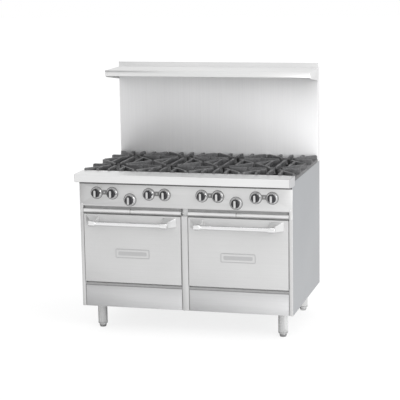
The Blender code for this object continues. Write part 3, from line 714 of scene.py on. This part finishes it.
def drip_trays():
    """Shallow pan behind a rolled front bar, and a dark seam where two bars meet."""
    seam_width = 0.0010
    for number in SECTIONS:
        node = f"drip_tray_{number}"
        low, high = corners(node)
        radius = (high.z - low.z) / 2
        bar_y, bar_z = low.y + radius, low.z + radius
        profile = arc((bar_y, bar_z), radius, 78, 282, 22)
        profile += [(bar_y + radius, low.z + 0.0008), (bar_y + radius, low.z + 0.003),
                    (bar_y + radius, high.z - 0.0022), (bar_y + radius * 0.6, high.z - 0.0012)]
        bm = bmesh.new()
        left_of_seam = number % 2 == 1
        seam = high.x - (seam_width if left_of_seam else 0.0)
        prism(bm, profile, along_x, low.x, seam)
        bar = made(f"{node}_bar", bm, "rail", 0.0012, 3)
        settle(bar, node, node, slot="stainless")
        floor, wall, sheet = low.z + 0.0026, high.z - 0.002, 0.0012
        x0, x1 = low.x + 0.003, high.x - 0.003
        y0, y1 = bar_y + 0.010, high.y
        bm = bmesh.new()
        slab(bm, (x0, y0, floor), (x1, y1, floor + sheet))
        slab(bm, (x0, y0, floor), (x0 + sheet, y1, wall))
        slab(bm, (x1 - sheet, y0, floor), (x1, y1, wall))
        slab(bm, (x0, y1 - sheet, floor), (x1, y1, wall))
        settle(made(f"{node}_pan", bm, "sheet_y"), node, slot="stainless")
        # Flat grey front wall of the tray behind the bar: real wall, grey set to the slot's shade (partly
        # painted shade).
        strip(f"{node}_front_wall", (low.x, bar_y + 0.0092, high.z - 0.003),
              (high.x, bar_y + 0.0104, PANEL_LIP - 0.001), "wall", node)
        if left_of_seam:
            bm = bmesh.new()
            prism(bm, profile, along_x, seam, high.x)
            settle(made(f"{node}_seam", bm, "dark_joint_and_shade"), node, slot="galvanised")


# ------------------------------------------------------------------ legs


def legs():
    """Flanged tube with a dark band near its end, and a bullet foot that screws into it."""
    r = 0.0262
    for row in ("front", "rear"):
        for side in SIDES:
            leg, foot = f"leg_{row}_{side}", f"foot_{row}_{side}"
            low, high = corners(leg)
            base = Vector((middle(leg).x, middle(leg).y, 0))
            bottom, top = low.z, high.z
            bm = bmesh.new()
            profile = [(0, top), (0.0335, top), (0.034, top - 0.001), (0.034, top - 0.003),
                       (0.0330, top - 0.0042), (r + 0.0015, top - 0.006), (r, top - 0.009),
                       (r, bottom + 0.004), (r - 0.001, bottom + 0.0012), (r - 0.003, bottom),
                       (0.0115, bottom), (0.0110, bottom + 0.010), (0, bottom + 0.010)]
            turned(bm, profile, base, (0, 0, 1), 56)
            settle(made(f"{leg}_tube", bm, "leg"), BODY, leg, slot="chrome")
            bm = bmesh.new()
            band = [(r - 0.001, 0.0), (r + 0.0005, 0.0), (r + 0.0005, 0.0022), (r - 0.001, 0.0022)]
            turned(bm, band, base + Vector((0, 0, bottom + 0.0065)), (0, 0, 1), 56, closed=True)
            settle(made(f"{leg}_band", bm, "plate"), BODY, slot="chrome")
            bm = bmesh.new()
            profile = [(0, 0), (0.0142, 0), (0.0160, 0.0006), (0.0172, 0.0025), (0.0188, 0.007),
                       (0.0200, 0.0125), (0.0204, 0.0165), (0.0196, 0.0182), (0.0100, 0.0184),
                       (0.0098, bottom + 0.008), (0, bottom + 0.008)]
            turned(bm, profile, base, (0, 0, 1), 48)
            settle(made(f"{foot}_bullet", bm, "flange"), foot, foot, slot="chrome")


# ------------------------------------------------------------------ burners and ovens


def burner_head(name, base):
    """Mushroom head with a flared rim and a raised centre."""
    bm = bmesh.new()
    rim, top = BURNER_RIM, BURNER_HEIGHT
    profile = [(0, 0), (0.030, 0), (0.034, 0.022), (rim - 0.0015, 0.029), (rim, 0.031),
               (rim, 0.0385), (rim - 0.0015, 0.0405), (0.0240, 0.0500), (0.0215, top), (0, top)]
    turned(bm, profile, base, UP, 48)
    return made(name, bm, "burner")


def mixing_tube(name, mouth, centre):
    """Tube from the tap in the front to below the burner, and a web across to the head."""
    bm = bmesh.new()
    inner, outer, long = 0.015, 0.018, centre.y + 0.012 - mouth.y
    wall = [(outer, 0.0), (outer, long), (inner, long), (inner, 0.0)]
    turned(bm, wall, mouth, (0, 1, 0), 32, closed=True)
    x0, x1 = sorted((centre.x, mouth.x))
    slab(bm, (x0 - 0.012, centre.y - 0.011, mouth.z - 0.012),
         (x1 + 0.012, centre.y + 0.011, mouth.z + 0.014))
    return made(name, bm, "burner", 0.0015)


def painted_port_shade(name, base):
    """Ring of dark dots for the gas ports in the rim of a burner head: painted shade standing for the
    holes.
    """
    bm = bmesh.new()
    count = 24
    port = [(0, -0.001), (0.0019, -0.001), (0.0019, 0.0004), (0, 0.0004)]
    for step in range(count):
        angle = 2 * math.pi * step / count
        out = Vector((math.cos(angle), math.sin(angle), 0))
        turned(bm, port, base + UP * 0.035 + out * BURNER_RIM, out, 8)
    return made(name, bm, "dark_joint_and_shade")


def burners():
    """Two round burners in each section, each on its own cast mixing tube, joined by a web."""
    for number in SECTIONS:
        node = f"burner_casting_{number}"
        low, high = corners(node)
        taps = {"rear": middle(KNOBS[2 * number - 2]), "front": middle(KNOBS[2 * number - 1])}
        replaced = (node,)
        for row, tap in taps.items():
            centre = middle(f"grate_{row}_{number}")
            base = Vector((centre.x, centre.y, high.z - BURNER_HEIGHT))
            mouth = Vector((tap.x, low.y, tap.z))
            head = burner_head(f"burner_head_{row}_{number}", base)
            settle(head, BODY, *replaced, slot="burner_iron")
            replaced = ()
            settle(mixing_tube(f"burner_tube_{row}_{number}", mouth, centre), BODY, slot="burner_iron")
            settle(painted_port_shade(f"painted_port_shade_{row}_{number}", base), BODY, slot="burner_iron")
        bm = bmesh.new()
        slab(bm, (taps["rear"].x, -0.215, low.z + 0.012), (taps["front"].x, -0.205, low.z + 0.024))
        settle(made(f"burner_web_{number}", bm, "burner", 0.0012), BODY, slot="burner_iron")


def ovens():
    """Burner and rack of each oven."""
    for side in SIDES:
        dress(f"oven_burner_{side}", "burner", 0.0008)
        rack(side)


def wire(bm, start, end, radius, steps=10):
    start, end = Vector(start), Vector(end)
    length = (end - start).length
    turned(bm, [(0, 0), (radius, 0), (radius, length), (0, length)], start, end - start, steps)


def rack(side):
    """Round-wire rack: a heavy frame, a centre bar and thin cross wires."""
    node = f"oven_rack_{side}"
    low, high = corners(node)
    z = (low.z + high.z) / 2
    r = (high.z - low.z) / 2
    bm = bmesh.new()
    for x in (low.x + r, high.x - r):
        wire(bm, (x, low.y, z), (x, high.y, z), r)
    for y in (low.y + r, (low.y + high.y) / 2, high.y - r):
        wire(bm, (low.x, y, z), (high.x, y, z), r)
    count, thin, raised = 22, 0.0016, 0.0008
    for i in range(1, count):
        x = low.x + (high.x - low.x) * i / count
        wire(bm, (x, low.y + r, z + raised), (x, high.y - r, z + raised), thin, 8)
    settle(made(f"{node}_wires", bm, "chrome"), BODY, node, slot="chrome")


def grates():
    for row in ("front", "rear"):
        for number in SECTIONS:
            dress(f"grate_{row}_{number}", "grate", 0.0030, 3)


# ------------------------------------------------------------------ light, floor and camera


def card(name, low, high, level):
    """A grey board that only bright metal sees, to give its reflections some contrast."""
    bm = bmesh.new()
    slab(bm, low, high)
    n = Nodes(name)
    tone = n.ramp(n.noise(1.0), [(0.3, (level * 0.9,) * 3), (0.7, (level * 1.1,) * 3)])
    MATERIALS[name] = n.finish(0.0, tone, 0.9)
    board = made(name, bm, name)
    board.visible_camera = board.visible_diffuse = board.visible_shadow = False


def stage():
    card("card_left", (-3.02, -3.0, 0.0), (-3.0, 1.0, 2.4), 0.10)
    card("card_floor", (-0.6, -0.80, 0.002), (1.6, -0.44, 0.006), 0.70)
    card("card_corner", (-1.6, -0.80, 0.002), (-0.6, -0.22, 0.006), 0.55)
    card("card_front", (-0.6, -0.44, 0.002), (0.6, -0.22, 0.006), 0.60)
    card("card_under", (-1.6, -0.22, 0.002), (0.49, 0.60, 0.006), 0.10)
    bm = bmesh.new()
    slab(bm, (-30, -30, -0.02), (30, 30, 0.0))
    floor = made("floor", bm, "floor")
    world = bpy.data.worlds.new("studio")
    bpy.context.scene.world = world
    world.use_nodes = True
    background = world.node_tree.nodes["Background"]
    background.inputs["Color"].default_value = (1, 1, 1, 1)
    background.inputs["Strength"].default_value = 1.0
    bpy.context.scene.view_settings.view_transform = "Standard"


def area_light(name, place, target, size, power):
    data = bpy.data.lights.new(name, "AREA")
    data.shape = "RECTANGLE"
    data.size, data.size_y = size
    data.energy = power
    lamp = bpy.data.objects.new(name, data)
    lamp.location = place
    lamp.rotation_euler = (Vector(target) - Vector(place)).to_track_quat("-Z", "Y").to_euler()
    bpy.context.scene.collection.objects.link(lamp)


def lights():
    area_light("key_right", (2.4, -2.4, 1.6), (0.3, 0, 0.7), (1.7, 1.7), 48)
    area_light("top", (0.6, -1.2, 4.0), (0, 0.2, 1.0), (2.4, 2.0), 8)


def camera():
    azimuth, elevation, roll = math.radians(15.18), math.radians(10.42), math.radians(-0.94)
    distance, lens = 8.127, 128.8
    target = Vector((-0.0079, 0.0, 0.7004))
    back = Vector((
        math.sin(azimuth) * math.cos(elevation),
        -math.cos(azimuth) * math.cos(elevation),
        math.sin(elevation),
    ))
    data = bpy.data.cameras.new("camera")
    data.lens = lens
    data.sensor_width = 36.0
    data.clip_end = 200.0
    view = bpy.data.objects.new("camera", data)
    view.location = target + back * distance
    turn = back.to_track_quat("Z", "Y").to_matrix().to_4x4()
    view.matrix_world = Matrix.Translation(view.location) @ turn @ Matrix.Rotation(roll, 4, "Z")
    bpy.context.scene.collection.objects.link(view)
    bpy.context.scene.camera = view


camera()
stage()
lights()
sheet_metal()
painted_shade_trim()
front_screws()
plate_rail()
badges()
knobs()
handles()
drip_trays()
legs()
burners()
ovens()
grates()
